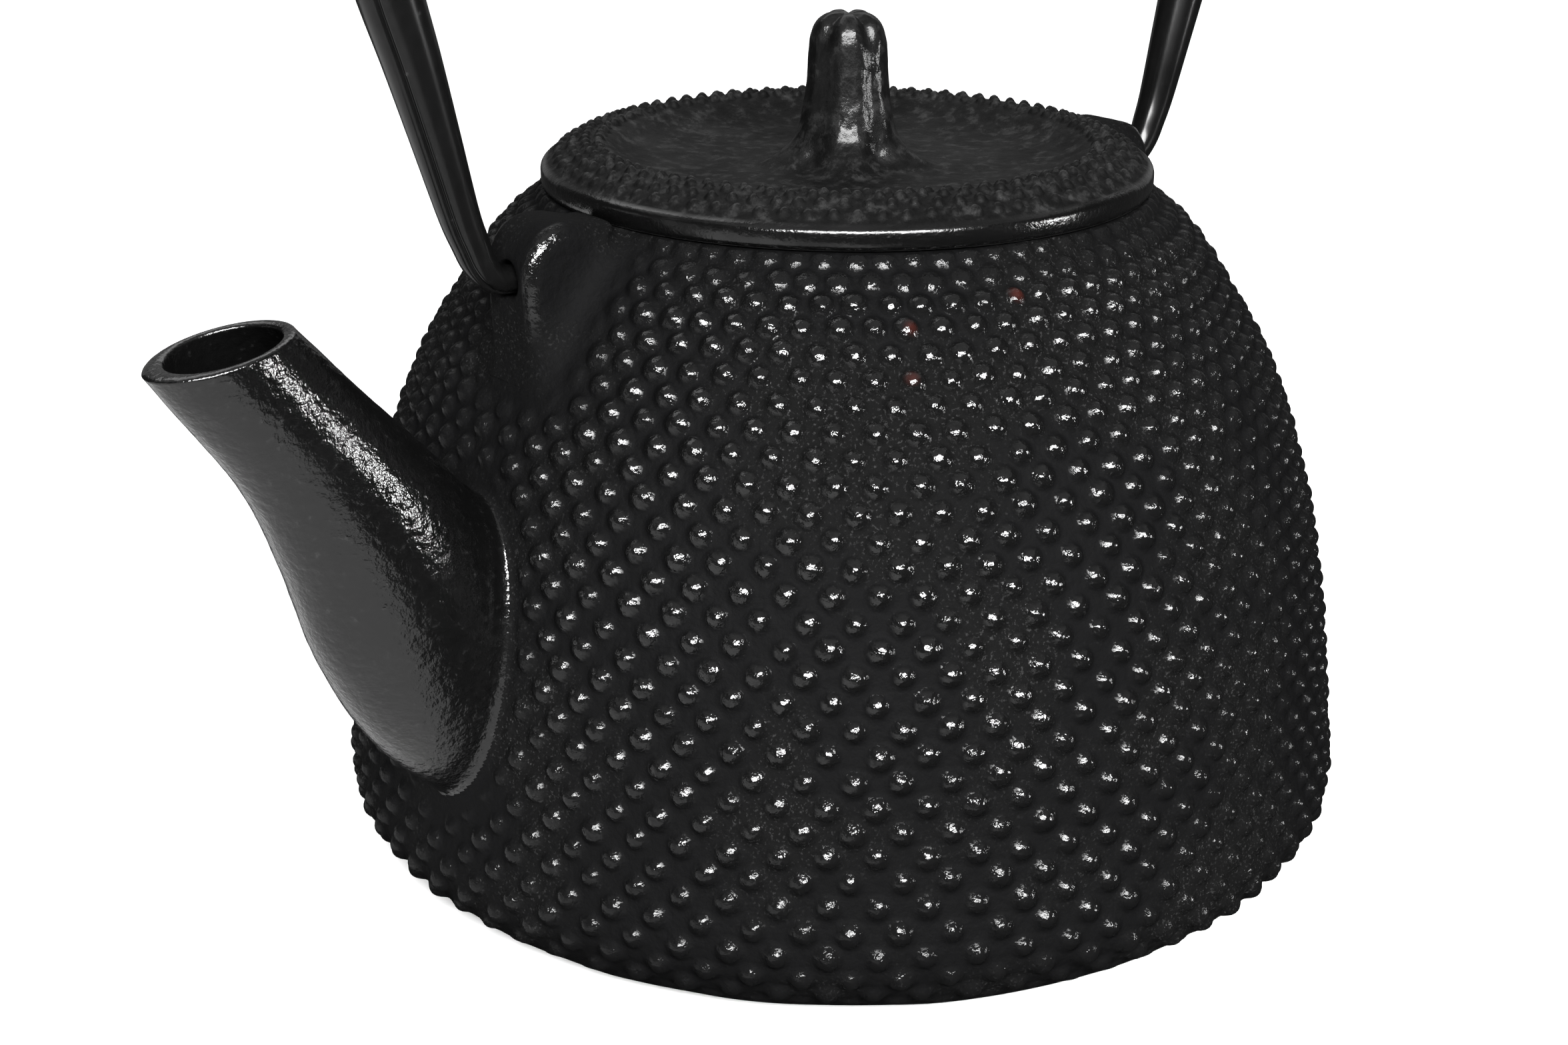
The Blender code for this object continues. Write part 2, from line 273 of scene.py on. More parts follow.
LUG_CURVE = np.vstack([catmull_rom(LUG_OUTLINE[:10], 4), LUG_OUTLINE[10:]])


def lug_distance(p, side):
    """A lug is a rounded plate over its outline."""
    flat = polygon_distance(side * p[:, 0], p[:, 2], LUG_CURVE) + LUG_ROUND
    across = np.abs(p[:, 1]) - 0.5 * LUG_WIDTH + LUG_ROUND
    outer = np.hypot(np.maximum(flat, 0.0), np.maximum(across, 0.0))
    return outer + np.minimum(np.maximum(flat, across), 0.0) - LUG_ROUND


def hole_distance(p, side):
    """Distance to the handle's hole, bored in from outside."""
    radial = np.hypot(p[:, 1], p[:, 2] - HINGE_HEIGHT) - LUG_HOLE_RADIUS
    depth = (LUG_FACE - LUG_HOLE_DEPTH) - side * p[:, 0]
    return np.maximum(radial, depth)


def smooth_min(a, b, reach):
    """The smaller of two distances, rounded off over reach where they are close."""
    share = np.maximum(reach - np.abs(a - b), 0.0) / reach
    return np.minimum(a, b) - share ** 2 * reach * 0.25


def casting_distance(p):
    """The body with its spout and lugs, blended where they meet."""
    both = smooth_min(body_distance(p), spout_distance(p), SPOUT_BLEND)
    for side in (-1, 1):
        both = smooth_min(both, lug_distance(p, side), LUG_BLEND)
    return both


def lug_surface(p):
    """The lugs' share of the casting, with their holes."""
    solid = body_distance(p)
    side = np.where(p[:, 0] < 0.0, -1.0, 1.0)
    solid = smooth_min(solid, lug_distance(p, side), LUG_BLEND)
    return -smooth_min(-solid, hole_distance(p, side), 1.0)


def gradient(distance, p, step=0.02):
    found = np.empty_like(p)
    for axis in range(3):
        shift = np.zeros(3)
        shift[axis] = step
        found[:, axis] = (distance(p + shift) - distance(p - shift)) / (2.0 * step)
    return found


def settle(p, distance, turns=5, most=1.2):
    """Move points onto the surface where distance is zero."""
    for _ in range(turns):
        slope = gradient(distance, p)
        size = np.maximum((slope ** 2).sum(axis=1), 0.05)
        move = slope * (distance(p) / size)[:, None]
        length = np.maximum(np.linalg.norm(move, axis=1), 1e-9)
        p = p - move * np.minimum(1.0, most / length)[:, None]
    return p


# ---------------------------------------------------------------- meshes
def mesh_object(name, points, faces, body, material):
    """points in millimetres; faces as a list of tuples or an (n, 4) array."""
    mesh = bpy.data.meshes.new(name)
    if isinstance(faces, np.ndarray):
        mesh.vertices.add(len(points))
        mesh.vertices.foreach_set("co", (points * MM).astype(np.float32).ravel())
        mesh.loops.add(faces.size)
        mesh.loops.foreach_set("vertex_index", faces.astype(np.int32).ravel())
        mesh.polygons.add(len(faces))
        mesh.polygons.foreach_set("loop_start", np.arange(0, faces.size, 4, dtype=np.int32))
        mesh.update(calc_edges=True)
    else:
        mesh.from_pydata((np.asarray(points) * MM).tolist(), [], faces)
    mesh.validate()
    mesh.shade_smooth()
    obj = bpy.data.objects.new(name, mesh)
    bpy.context.scene.collection.objects.link(obj)
    mesh.materials.append(material)
    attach(obj, body)
    return obj


def grid_faces(rows, columns):
    """Quads of a grid whose columns run round and whose rows follow the profile."""
    i = np.arange(rows - 1)[:, None]
    j = np.arange(columns)[None, :]
    k = (j + 1) % columns
    quads = np.stack([i * columns + j, i * columns + k, (i + 1) * columns + k,
                      (i + 1) * columns + j], axis=-1)
    return quads.reshape(-1, 4)


def drop_loose(obj):
    """Remove points that no face uses."""
    work = bmesh.new()
    work.from_mesh(obj.data)
    loose = [v for v in work.verts if not v.link_faces]
    bmesh.ops.delete(work, geom=loose, context="VERTS")
    work.to_mesh(obj.data)
    work.free()


def set_attribute(obj, name, values):
    attribute = obj.data.attributes.new(name, "FLOAT", "POINT")
    attribute.data.foreach_set("value", np.asarray(values, np.float32))


def turned_points(profile, columns):
    """Points of a turned surface, row by row down the profile."""
    angle = np.arange(columns) * TAU / columns
    profile = np.asarray(profile, float)
    x = profile[:, :1] * np.cos(angle)[None, :]
    y = profile[:, :1] * np.sin(angle)[None, :]
    z = np.repeat(profile[:, 1:2], columns, axis=1)
    return np.stack([x, y, z], axis=-1).reshape(-1, 3)


def turned(name, profile, columns, body, material):
    points = turned_points(profile, columns)
    return mesh_object(name, points, grid_faces(len(profile), columns), body, material)


# ---------------------------------------------------------------- materials
def new_material(name):
    material = bpy.data.materials.new(name)
    material.use_nodes = True
    return material, material.node_tree.nodes, material.node_tree.links


def ramp(nodes, source, stops, links):
    node = nodes.new("ShaderNodeValToRGB")
    links.new(source, node.inputs["Fac"])
    elements = node.color_ramp.elements
    while len(elements) < len(stops):
        elements.new(0.5)
    for element, (position, value) in zip(elements, stops):
        element.position = position
        color = value if isinstance(value, tuple) else (value, value, value)
        element.color = (*color, 1.0)
    return node.outputs["Color"]


def noise(nodes, links, coords, scale, detail, roughness=0.55):
    node = nodes.new("ShaderNodeTexNoise")
    node.inputs["Scale"].default_value = scale
    node.inputs["Detail"].default_value = detail
    node.inputs["Roughness"].default_value = roughness
    links.new(coords, node.inputs["Vector"])
    return node.outputs["Fac"]


def mix_float(nodes, links, factor, a, b):
    node = nodes.new("ShaderNodeMix")
    node.data_type = "FLOAT"
    links.new(factor, node.inputs["Factor"])
    for socket, value in (("A", a), ("B", b)):
        if isinstance(value, (int, float)):
            node.inputs[socket].default_value = value
        else:
            links.new(value, node.inputs[socket])
    return node.outputs["Result"]


def mix_color(nodes, links, factor, a, b):
    node = nodes.new("ShaderNodeMix")
    node.data_type = "RGBA"
    links.new(factor, node.inputs[0])
    for socket, value in ((6, a), (7, b)):
        if isinstance(value, tuple):
            node.inputs[socket].default_value = (*value, 1.0)
        else:
            links.new(value, node.inputs[socket])
    return node.outputs[2]


def bump(nodes, links, height, distance, strength, before=None):
    node = nodes.new("ShaderNodeBump")
    node.inputs["Distance"].default_value = distance
    node.inputs["Strength"].default_value = strength
    links.new(height, node.inputs["Height"])
    if before is not None:
        links.new(before, node.inputs["Normal"])
    return node.outputs["Normal"]


def multiply(nodes, links, a, b):
    node = nodes.new("ShaderNodeMath")
    node.operation = "MULTIPLY"
    links.new(a, node.inputs[0])
    links.new(b, node.inputs[1])
    return node.outputs[0]


def attribute(nodes, name):
    node = nodes.new("ShaderNodeAttribute")
    node.attribute_name = name
    return node.outputs["Fac"]


def object_coords(nodes):
    return nodes.new("ShaderNodeTexCoord").outputs["Object"]


def hail_enamel():
    """A dull ground with fine pale grit; glossy where "tip" is high, red where "rust" is."""
    material, nodes, links = new_material("hail_enamel")
    shader = nodes["Principled BSDF"]
    coords = object_coords(nodes)
    tip = attribute(nodes, "tip")
    rust = attribute(nodes, "rust")
    grit = noise(nodes, links, coords, 2400.0, 2.0, 0.6)
    blotch = noise(nodes, links, coords, 45.0, 4.0)
    grit_color = ramp(nodes, grit, [(0.0, 0.0018), (0.58, 0.0022), (0.70, 0.013)], links)
    patch = ramp(nodes, blotch, [(0.44, 0.0), (0.60, 1.0)], links)
    ground = mix_color(nodes, links, patch, (0.0018, 0.0018, 0.0019), grit_color)
    enamel = mix_color(nodes, links, tip, ground, (0.0011, 0.0011, 0.0011))
    rusted = mix_color(nodes, links, rust, enamel, (0.045, 0.007, 0.004))
    links.new(rusted, shader.inputs["Base Color"])
    links.new(ramp(nodes, blotch, [(0.3, 0.68), (0.7, 0.82)], links), shader.inputs["Roughness"])
    shader.inputs["Specular IOR Level"].default_value = 0.03
    worn = noise(nodes, links, coords, 700.0, 3.0, 0.7)
    wear = ramp(nodes, worn, [(0.30, 0.45), (0.50, 1.0)], links)
    links.new(multiply(nodes, links, tip, wear), shader.inputs["Coat Weight"])
    shader.inputs["Coat Roughness"].default_value = 0.05
    fine = bump(nodes, links, grit, 0.00005, 0.5)
    pits = noise(nodes, links, coords, 850.0, 3.0)
    rough = bump(nodes, links, pits, 0.0004, 0.6, fine)
    links.new(rough, shader.inputs["Normal"])
    links.new(rough, shader.inputs["Coat Normal"])
    return material


def spout_enamel():
    """Gloss enamel over a slightly pitted casting."""
    material, nodes, links = new_material("spout_enamel")
    shader = nodes["Principled BSDF"]
    coords = object_coords(nodes)
    pits = noise(nodes, links, coords, 850.0, 3.0, 0.6)
    patches = noise(nodes, links, coords, 70.0, 3.0)
    color = ramp(nodes, pits, [(0.3, 0.0012), (0.62, 0.0016), (0.74, 0.006)], links)
    links.new(color, shader.inputs["Base Color"])
    links.new(ramp(nodes, patches, [(0.35, 0.08), (0.7, 0.20)], links), shader.inputs["Roughness"])
    swell = bump(nodes, links, patches, 0.0004, 0.25)
    links.new(bump(nodes, links, pits, 0.00035, 0.5, swell), shader.inputs["Normal"])
    return material


def lid_enamel():
    """Dull and mottled, under a clear coat where "gloss" is high."""
    material, nodes, links = new_material("lid_enamel")
    shader = nodes["Principled BSDF"]
    coords = object_coords(nodes)
    gloss = attribute(nodes, "gloss")
    mottle = noise(nodes, links, coords, 420.0, 5.0, 0.7)
    broad = noise(nodes, links, coords, 90.0, 4.0)
    dull = ramp(nodes, mottle, [(0.38, 0.0010), (0.52, 0.0024), (0.70, 0.014)], links)
    color = mix_color(nodes, links, gloss, dull, (0.0012, 0.0012, 0.0012))
    links.new(color, shader.inputs["Base Color"])
    rough = ramp(nodes, broad, [(0.3, 0.5), (0.7, 0.75)], links)
    links.new(mix_float(nodes, links, gloss, rough, 0.28), shader.inputs["Roughness"])
    shader.inputs["Specular IOR Level"].default_value = 0.06
    coarse = bump(nodes, links, mottle, 0.0004, 0.5)
    grain = noise(nodes, links, coords, 1500.0, 2.0)
    rough_normal = bump(nodes, links, grain, 0.0001, 0.4, coarse)
    links.new(rough_normal, shader.inputs["Normal"])
    patchy = ramp(nodes, broad, [(0.35, 0.35), (0.55, 0.9)], links)
    links.new(multiply(nodes, links, gloss, patchy), shader.inputs["Coat Weight"])
    shader.inputs["Coat Roughness"].default_value = 0.09
    links.new(bump(nodes, links, mottle, 0.00025, 0.5), shader.inputs["Coat Normal"])
    return material


def handle_enamel():
    """Smooth gloss enamel on rolled sheet."""
    material, nodes, links = new_material("handle_enamel")
    shader = nodes["Principled BSDF"]
    coords = object_coords(nodes)
    fleck = noise(nodes, links, coords, 600.0, 2.0)
    wave = noise(nodes, links, coords, 45.0, 2.0)
    links.new(ramp(nodes, fleck, [(0.3, 0.0015), (0.7, 0.0022), (0.8, 0.010)], links),
              shader.inputs["Base Color"])
    links.new(ramp(nodes, wave, [(0.3, 0.16), (0.7, 0.26)], links), shader.inputs["Roughness"])
    shader.inputs["Specular IOR Level"].default_value = 0.24
    links.new(bump(nodes, links, wave, 0.0003, 0.2), shader.inputs["Normal"])
    return material


def inside_enamel():
    """Dull black enamel inside the pot and under the lid."""
    material, nodes, links = new_material("inside_enamel")
    shader = nodes["Principled BSDF"]
    coords = object_coords(nodes)
    grain = noise(nodes, links, coords, 700.0, 4.0)
    links.new(ramp(nodes, grain, [(0.3, 0.0025), (0.8, 0.006)], links), shader.inputs["Base Color"])
    links.new(ramp(nodes, grain, [(0.3, 0.5), (0.7, 0.65)], links), shader.inputs["Roughness"])
    links.new(bump(nodes, links, grain, 0.0002, 0.4), shader.inputs["Normal"])
    return material


def steel(name, stretch):
    """Brushed stainless: noise drawn out along one direction."""
    material, nodes, links = new_material(name)
    shader = nodes["Principled BSDF"]
    mapping = nodes.new("ShaderNodeMapping")
    mapping.inputs["Scale"].default_value = stretch
    links.new(object_coords(nodes), mapping.inputs["Vector"])
    brush = noise(nodes, links, mapping.outputs["Vector"], 900.0, 3.0)
    links.new(ramp(nodes, brush, [(0.3, 0.42), (0.7, 0.62)], links), shader.inputs["Base Color"])
    links.new(ramp(nodes, brush, [(0.3, 0.22), (0.7, 0.38)], links), shader.inputs["Roughness"])
    links.new(bump(nodes, links, brush, 0.00005, 0.3), shader.inputs["Normal"])
    shader.inputs["Metallic"].default_value = 1.0
    return material


# ---------------------------------------------------------------- the body's skin
def hailstones(theta, along, radius):
    """Height of the stones at each point, and the glossy tips as a share from 0 to 1."""
    step = TAU / HAIL_PER_ROW
    nearest = np.round((along - HAIL_FIRST_ROW) / HAIL_ROW_STEP)
    height = np.zeros_like(theta)
    for shift in (-1, 0, 1):
        row = nearest + shift
        offset = 0.5 * np.mod(row, 2)
        column = np.round(theta / step - offset)
        stone = np.mod(column, HAIL_PER_ROW)
        aside = (theta - (column + offset) * step) * radius - 0.28 * hashed(row, stone, 1.0)
        down = along - HAIL_FIRST_ROW - row * HAIL_ROW_STEP - 0.22 * hashed(row, stone, 2.0)
        size = 1.0 + 0.10 * hashed(row, stone, 3.0)
        far = (aside ** 2 + down ** 2) / size ** 2
        shape = HAIL_HEIGHT * (1.0 - far / HAIL_REACH ** 2)
        blend = np.clip(shape + HAIL_SKIRT, 0.0, None) ** 2 / (4.0 * HAIL_SKIRT)
        shape = np.where(shape > HAIL_SKIRT, shape, np.where(shape > -HAIL_SKIRT, blend, 0.0))
        exists = (row >= 0) & (row < HAIL_ROWS)
        height = np.maximum(height, np.where(exists, size * shape, 0.0))
    return height, smooth_step(0.30, 0.62, height)


def rusty(points):
    """How rusty each point is, from 0 to 1: spots on the stones nearest to the listed places."""
    found = np.zeros(len(points))
    step = TAU / HAIL_PER_ROW
    for azimuth, near_height in RUSTY_STONES:
        down = arc_length(SIDE)
        row = round((np.interp(-near_height, -SIDE[:, 1], down) - HAIL_FIRST_ROW) / HAIL_ROW_STEP)
        height = np.interp(HAIL_FIRST_ROW + row * HAIL_ROW_STEP, down, SIDE[:, 1])
        offset = 0.5 * (row % 2)
        angle = (round(math.radians(azimuth) / step - offset) + offset) * step
        radius = np.interp(height, SIDE_UP[:, 1], SIDE_UP[:, 0])
        spot = np.array([radius * math.cos(angle), radius * math.sin(angle), height])
        gap = np.linalg.norm(points - spot, axis=1)
        found = np.maximum(found, 1.0 - smooth_step(0.5, 1.4, gap))
    return found


def fade_stones(height, tip, points, theta, along, to_spout, to_lug):
    """The stones die out at the spout, the lugs, the seat and the foot, and vary in gloss."""
    clear = smooth_step(*HAIL_GAP_TO_SPOUT, to_spout) * smooth_step(*HAIL_GAP_TO_LUG, to_lug)
    # The first two rows under the seat are lower.
    fade = smooth_step(-0.3, 0.6, along) * (0.55 + 0.45 * smooth_step(3.0, 7.8, along))
    fade *= smooth_step(*HAIL_GAP_TO_FLOOR, points[:, 2])
    # The enamel is glossiest on the two broad faces, and dull near the lugs, spout and foot.
    broad_face = np.abs(np.cos(theta - GLOSSY_AZIMUTH)) ** 3
    level = np.exp(-((points[:, 2] - GLOSSY_HEIGHT) / GLOSSY_SPREAD) ** 2)
    gloss = 0.30 + 0.70 * broad_face * level
    gloss *= 0.30 + 0.70 * smooth_step(5.0, 16.0, to_lug)
    gloss *= 0.45 + 0.55 * smooth_step(4.0, 14.0, to_spout)
    return height * clear * fade, tip * clear * fade * gloss


def body_skin(material):
    """The outer skin from inside the mouth, over the seat and down the side to the underside."""
    side_length = arc_length(SIDE)[-1]
    side = resample(SIDE, np.arange(0.0, side_length, SKIN_ROW_STEP))
    mouth = [(MOUTH_RADIUS, 92.0), (MOUTH_RADIUS, SEAT_HEIGHT - 0.6),
             (MOUTH_RADIUS + 0.2, SEAT_HEIGHT - 0.15), (MOUTH_RADIUS + 0.7, SEAT_HEIGHT),
             (41.8, SEAT_HEIGHT), (42.7, SEAT_HEIGHT - 0.03)]
    under = [(64.5, 0.35), (63.2, 0.08), (FOOT_RADIUS, 0.0), (58.0, 0.0), (40.0, 0.0),
             (20.0, 0.0), (3.0, 0.0)]
    profile = np.vstack([mouth, side, under])
    top, bottom = len(mouth), len(mouth) + len(side)
    points = turned_points(profile, SKIN_COLUMNS)
    rows, columns = len(profile), SKIN_COLUMNS
    row_of = np.repeat(np.arange(rows), columns)
    theta = np.tile(np.arange(columns) * TAU / columns, rows)
    along = np.concatenate([np.full(top, -9.0), arc_length(side), np.full(len(under), 1e3)])[row_of]
    radius = profile[row_of, 0]
    on_side = (row_of >= top) & (row_of < bottom)

    slope = np.gradient(side, axis=0)
    outward = np.stack([-slope[:, 1], slope[:, 0]], axis=1)
    outward /= np.linalg.norm(outward, axis=1)[:, None]
    normal_rz = np.zeros((rows, 2))
    normal_rz[top:bottom] = outward
    nr = normal_rz[row_of]
    normal = np.stack([nr[:, 0] * np.cos(theta), nr[:, 0] * np.sin(theta), nr[:, 1]], axis=1)

    to_spout = np.full(len(points), 99.0)
    near = on_side & (points[:, 0] < -30.0) & (np.abs(points[:, 1]) < 34.0)
    to_spout[near] = spout_distance(points[near])
    to_lug = np.full(len(points), 99.0)
    near_lug = on_side & (points[:, 2] > 60.0) & (np.abs(points[:, 1]) < 26.0)
    side_sign = np.where(points[near_lug, 0] < 0.0, -1.0, 1.0)
    to_lug[near_lug] = lug_distance(points[near_lug], side_sign)

    blend = on_side & ((to_spout < SPOUT_BLEND + 1.0) | (to_lug < LUG_BLEND + 1.0))
    blend &= (to_spout > -1.0) & (to_lug > -3.0)
    points[blend] = settle(points[blend], casting_distance)

    height, tip = hailstones(theta, along, radius)
    height, tip = fade_stones(height, tip, points, theta, along, to_spout, to_lug)
    height = np.where(on_side, height, 0.0)
    tip = np.where(on_side, tip, 0.0)
    ripple = RIPPLE * waves(points, 17.0, 3, 2)
    points += normal * (height + np.where(on_side, ripple, 0.0))[:, None]

    faces = grid_faces(rows, columns)
    hidden = (to_spout < -1.0) | (to_lug < -1.0)
    faces = faces[~hidden[faces].all(axis=1)]
    skin = mesh_object("body_skin", points, faces, "root", material)
    set_attribute(skin, "tip", tip)
    set_attribute(skin, "rust", rusty(points))
    drop_loose(skin)
    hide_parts("teapot_body")
    return skin


def body_inside(material):
    """The hollow: throat, ledge, wall and floor."""
    throat = [(MOUTH_RADIUS + 0.02, 96.5), (MOUTH_RADIUS, LEDGE_HEIGHT + 0.4),
              (MOUTH_RADIUS - 0.4, LEDGE_HEIGHT), (LEDGE_RADIUS + 0.3, LEDGE_HEIGHT),
              (LEDGE_RADIUS, LEDGE_HEIGHT - 0.3), (LEDGE_RADIUS, LEDGE_HEIGHT - 2.4), (46.0, 87.4)]
    wall = [(radius - WALL, height) for radius, height in BODY_OUTLINE[3:9]]
    foot = [(67.5, 8.4), (64.5, 6.4), (60.0, FLOOR_TOP), (40.0, FLOOR_TOP), (20.0, FLOOR_TOP),
            (1.0, FLOOR_TOP)]
    profile = np.vstack([throat, catmull_rom(wall, 8), foot])
    points = turned_points(profile, 240)
    faces = grid_faces(len(profile), 240)[:, ::-1]
    to_bore = spout_distance(points) + SPOUT_WALL_ROOT
    faces = faces[~((to_bore < 0.0)[faces].all(axis=1))]
    inside = mesh_object("body_inside", points, faces, "root", material)
    drop_loose(inside)
    return inside


# ---------------------------------------------------------------- the spout
def spout_rings(shrink_root, shrink_tip, lip, shift, tip_squash):
    """Outer or inner wall of the spout, cut at the mouth: rows from the root to the mouth."""
    line = resample(SPOUT_LINE, np.linspace(0.0, arc_length(SPOUT_LINE)[-1], 260))
    slope = np.gradient(line[:, :2], axis=0)
    slope /= np.linalg.norm(slope, axis=1)[:, None]
    share = np.linspace(0.0, 1.0, len(line))
    radius = line[:, 2] - (shrink_root + (shrink_tip - shrink_root) * share)
    angle = np.arange(SPOUT_COLUMNS) * TAU / SPOUT_COLUMNS
    pull = 1.0 + lip / 8.6 * np.maximum(np.cos(angle), 0.0) ** 10
    reach = radius[:, None] * (1.0 + (pull[None, :] - 1.0) * smooth_step(0.66, 0.88, share)[:, None])
    # The in-plane direction square to the line, on the outer and lower side.
    offset = reach * np.cos(angle) - (shift * smooth_step(0.51, 0.87, share))[:, None]
    out = line[:, None, 0] + offset * slope[:, None, 1]
    high = line[:, None, 1] - offset * slope[:, None, 0]
    squash = tube_squash(share) + (tip_squash - SPOUT_SQUASH) * smooth_step(0.51, 0.87, share)
    wide = reach * np.sin(angle) * squash[:, None]
    rings = np.stack([-out, wide, high], axis=-1)
    # Past the mouth's plane each column stops where it crosses it.
    normal = np.array([-math.sin(SPOUT_MOUTH_TILT), 0.0, math.cos(SPOUT_MOUTH_TILT)])
    mouth = np.array([-SPOUT_MOUTH[0], 0.0, SPOUT_MOUTH[1]])
    above = (rings - mouth) @ normal
    rows = SPOUT_ROWS
    cut = np.empty((rows, SPOUT_COLUMNS, 3))
    for j in range(SPOUT_COLUMNS):
        i = int(np.argmax(above[:, j] > 0.0))
        part = above[i - 1, j] / (above[i - 1, j] - above[i, j])
        end = i - 1 + part
        at = end * np.linspace(0.0, 1.0, rows) ** 0.95
        low = np.minimum(at.astype(int), len(line) - 2)
        mix = (at - low)[:, None]
        cut[:, j] = rings[low, j] * (1.0 - mix) + rings[low + 1, j] * mix
    return cut, normal


def spout(material):
    outer, normal = spout_rings(0.0, 0.0, SPOUT_LIP, 0.0, SPOUT_SQUASH)
    inner, _ = spout_rings(SPOUT_WALL_ROOT, SPOUT_WALL_TIP, 0.0, BORE_SHIFT, BORE_SQUASH)
    broad = waves(outer.reshape(-1, 3), 9.0, 11, 2)
    fine = waves(outer.reshape(-1, 3), 1.9, 12, 2)
    rough = (0.07 + 0.05 * broad + 0.022 * fine).reshape(outer.shape[:2])
    middle = outer.mean(axis=1, keepdims=True)
    away = outer - middle
    away /= np.linalg.norm(away, axis=2, keepdims=True)
    fade = 1.0 - smooth_step(0.93, 1.0, np.linspace(0, 1, len(outer)))[:, None, None]
    raw = outer.reshape(-1, 3)
    to_body = body_distance(raw)
    near = (to_body < SPOUT_BLEND + 1.0) & (to_body > -4.0)
    points = raw.copy()
    points[near] = settle(raw[near], casting_distance)
    outer = points.reshape(outer.shape) + away * rough[:, :, None] * fade
    edge_out, edge_in = outer[-1], inner[-1]
    lip = []
    for share, drop in ((0.03, 0.14), (0.10, 0.27), (0.22, 0.38), (0.5, 0.44), (0.78, 0.38),
                        (0.90, 0.27), (0.97, 0.14)):
        lip.append(edge_out * (1 - share) + edge_in * share + normal * drop)
    rings = np.concatenate([outer, np.stack(lip), inner[::-1]], axis=0)
    faces = grid_faces(len(rings), SPOUT_COLUMNS)
    flat = rings.reshape(-1, 3)
    hidden = np.zeros(len(flat), bool)
    hidden[:len(raw)] = to_body < 0.2
    hidden[-len(raw):] = body_distance(flat[-len(raw):]) < -WALL - 1.5
    faces = faces[~hidden[faces].all(axis=1)]
    obj = mesh_object("spout_tube", flat, faces, "root", material)
    drop_loose(obj)
    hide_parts("spout")
    return obj


# ---------------------------------------------------------------- the lugs
def lug(name, side, material):
    """A dense block round the lug, drawn onto the casting's surface."""
    work = bmesh.new()
    bmesh.ops.create_cube(work, size=1.0)
    mesh = bpy.data.meshes.new(name)
    low = np.array([45.4, -0.5 * LUG_WIDTH, 78.5])
    high = np.array([59.4, 0.5 * LUG_WIDTH, 100.0])
    for vertex in work.verts:
        at = low + (np.array(vertex.co) + 0.5) * (high - low)
        vertex.co = (side * at[0] * MM, at[1] * MM, at[2] * MM)
    bmesh.ops.recalc_face_normals(work, faces=work.faces)
    work.to_mesh(mesh)
    work.free()
    obj = bpy.data.objects.new(name, mesh)
    bpy.context.scene.collection.objects.link(obj)
    bpy.ops.mesh.primitive_cylinder_add(
        vertices=32, radius=LUG_HOLE_RADIUS * MM, depth=2.0 * LUG_HOLE_DEPTH * MM,
        location=(side * LUG_FACE * MM, 0.0, HINGE_HEIGHT * MM),
        rotation=(0.0, math.radians(90.0), 0.0))
    drill = bpy.context.object
    cut = obj.modifiers.new("hole", "BOOLEAN")
    cut.operation = "DIFFERENCE"
    cut.object = drill
    grid = obj.modifiers.new("grid", "REMESH")
    grid.mode = "VOXEL"
    grid.voxel_size = 0.32 * MM
    graph = bpy.context.evaluated_depsgraph_get()
    dense = bpy.data.meshes.new_from_object(obj.evaluated_get(graph))
    bpy.data.objects.remove(drill, do_unlink=True)
    bpy.data.objects.remove(obj, do_unlink=True)
    points = np.empty(len(dense.vertices) * 3)
    dense.vertices.foreach_get("co", points)
    points = points.reshape(-1, 3) / MM
    faces = [tuple(p.vertices) for p in dense.polygons]
    deep = body_distance(points) < -1.0
    points = settle(points, lug_surface, turns=7, most=1.0)
    points += gradient(lug_surface, points) * (0.05 * waves(points, 3.5, 5, 2))[:, None]
    faces = [f for f in faces if not all(deep[list(f)])]
    made = mesh_object(name, points, faces, "root", material)
    flat = polygon_distance(side * points[:, 0], points[:, 2], LUG_CURVE) + LUG_ROUND
    across = np.abs(points[:, 1]) - 0.5 * LUG_WIDTH + LUG_ROUND
    edge = smooth_step(0.2, 1.3, flat) * smooth_step(0.2, 1.3, across)
    edge *= smooth_step(84.0, 90.0, points[:, 2]) * smooth_step(52.0, 56.0, side * points[:, 0])
    set_attribute(made, "tip", edge)
    drop_loose(made)
    return made


# ---------------------------------------------------------------- the lid
def beads(theta, radius):
    step = TAU / BEADS_PER_ROW
    height = np.zeros_like(theta)
    for row, (middle, strength) in enumerate(BEAD_ROWS):
        offset = 0.5 * (row % 2)
        column = np.round(theta / step - offset)
        stone = np.mod(column, BEADS_PER_ROW)
        aside = (theta - (column + offset) * step) * radius - 0.14 * hashed(row, stone, 7.0)
        down = radius - middle - 0.12 * hashed(row, stone, 8.0)
        size = BEAD_RADIUS * (1.0 + 0.12 * hashed(row, stone, 9.0))
        far = (aside ** 2 + down ** 2) / size ** 2
        bead = strength * BEAD_HEIGHT * np.maximum(1.0 - far, 0.0) ** 0.8
        height = np.maximum(height, bead)
    return height


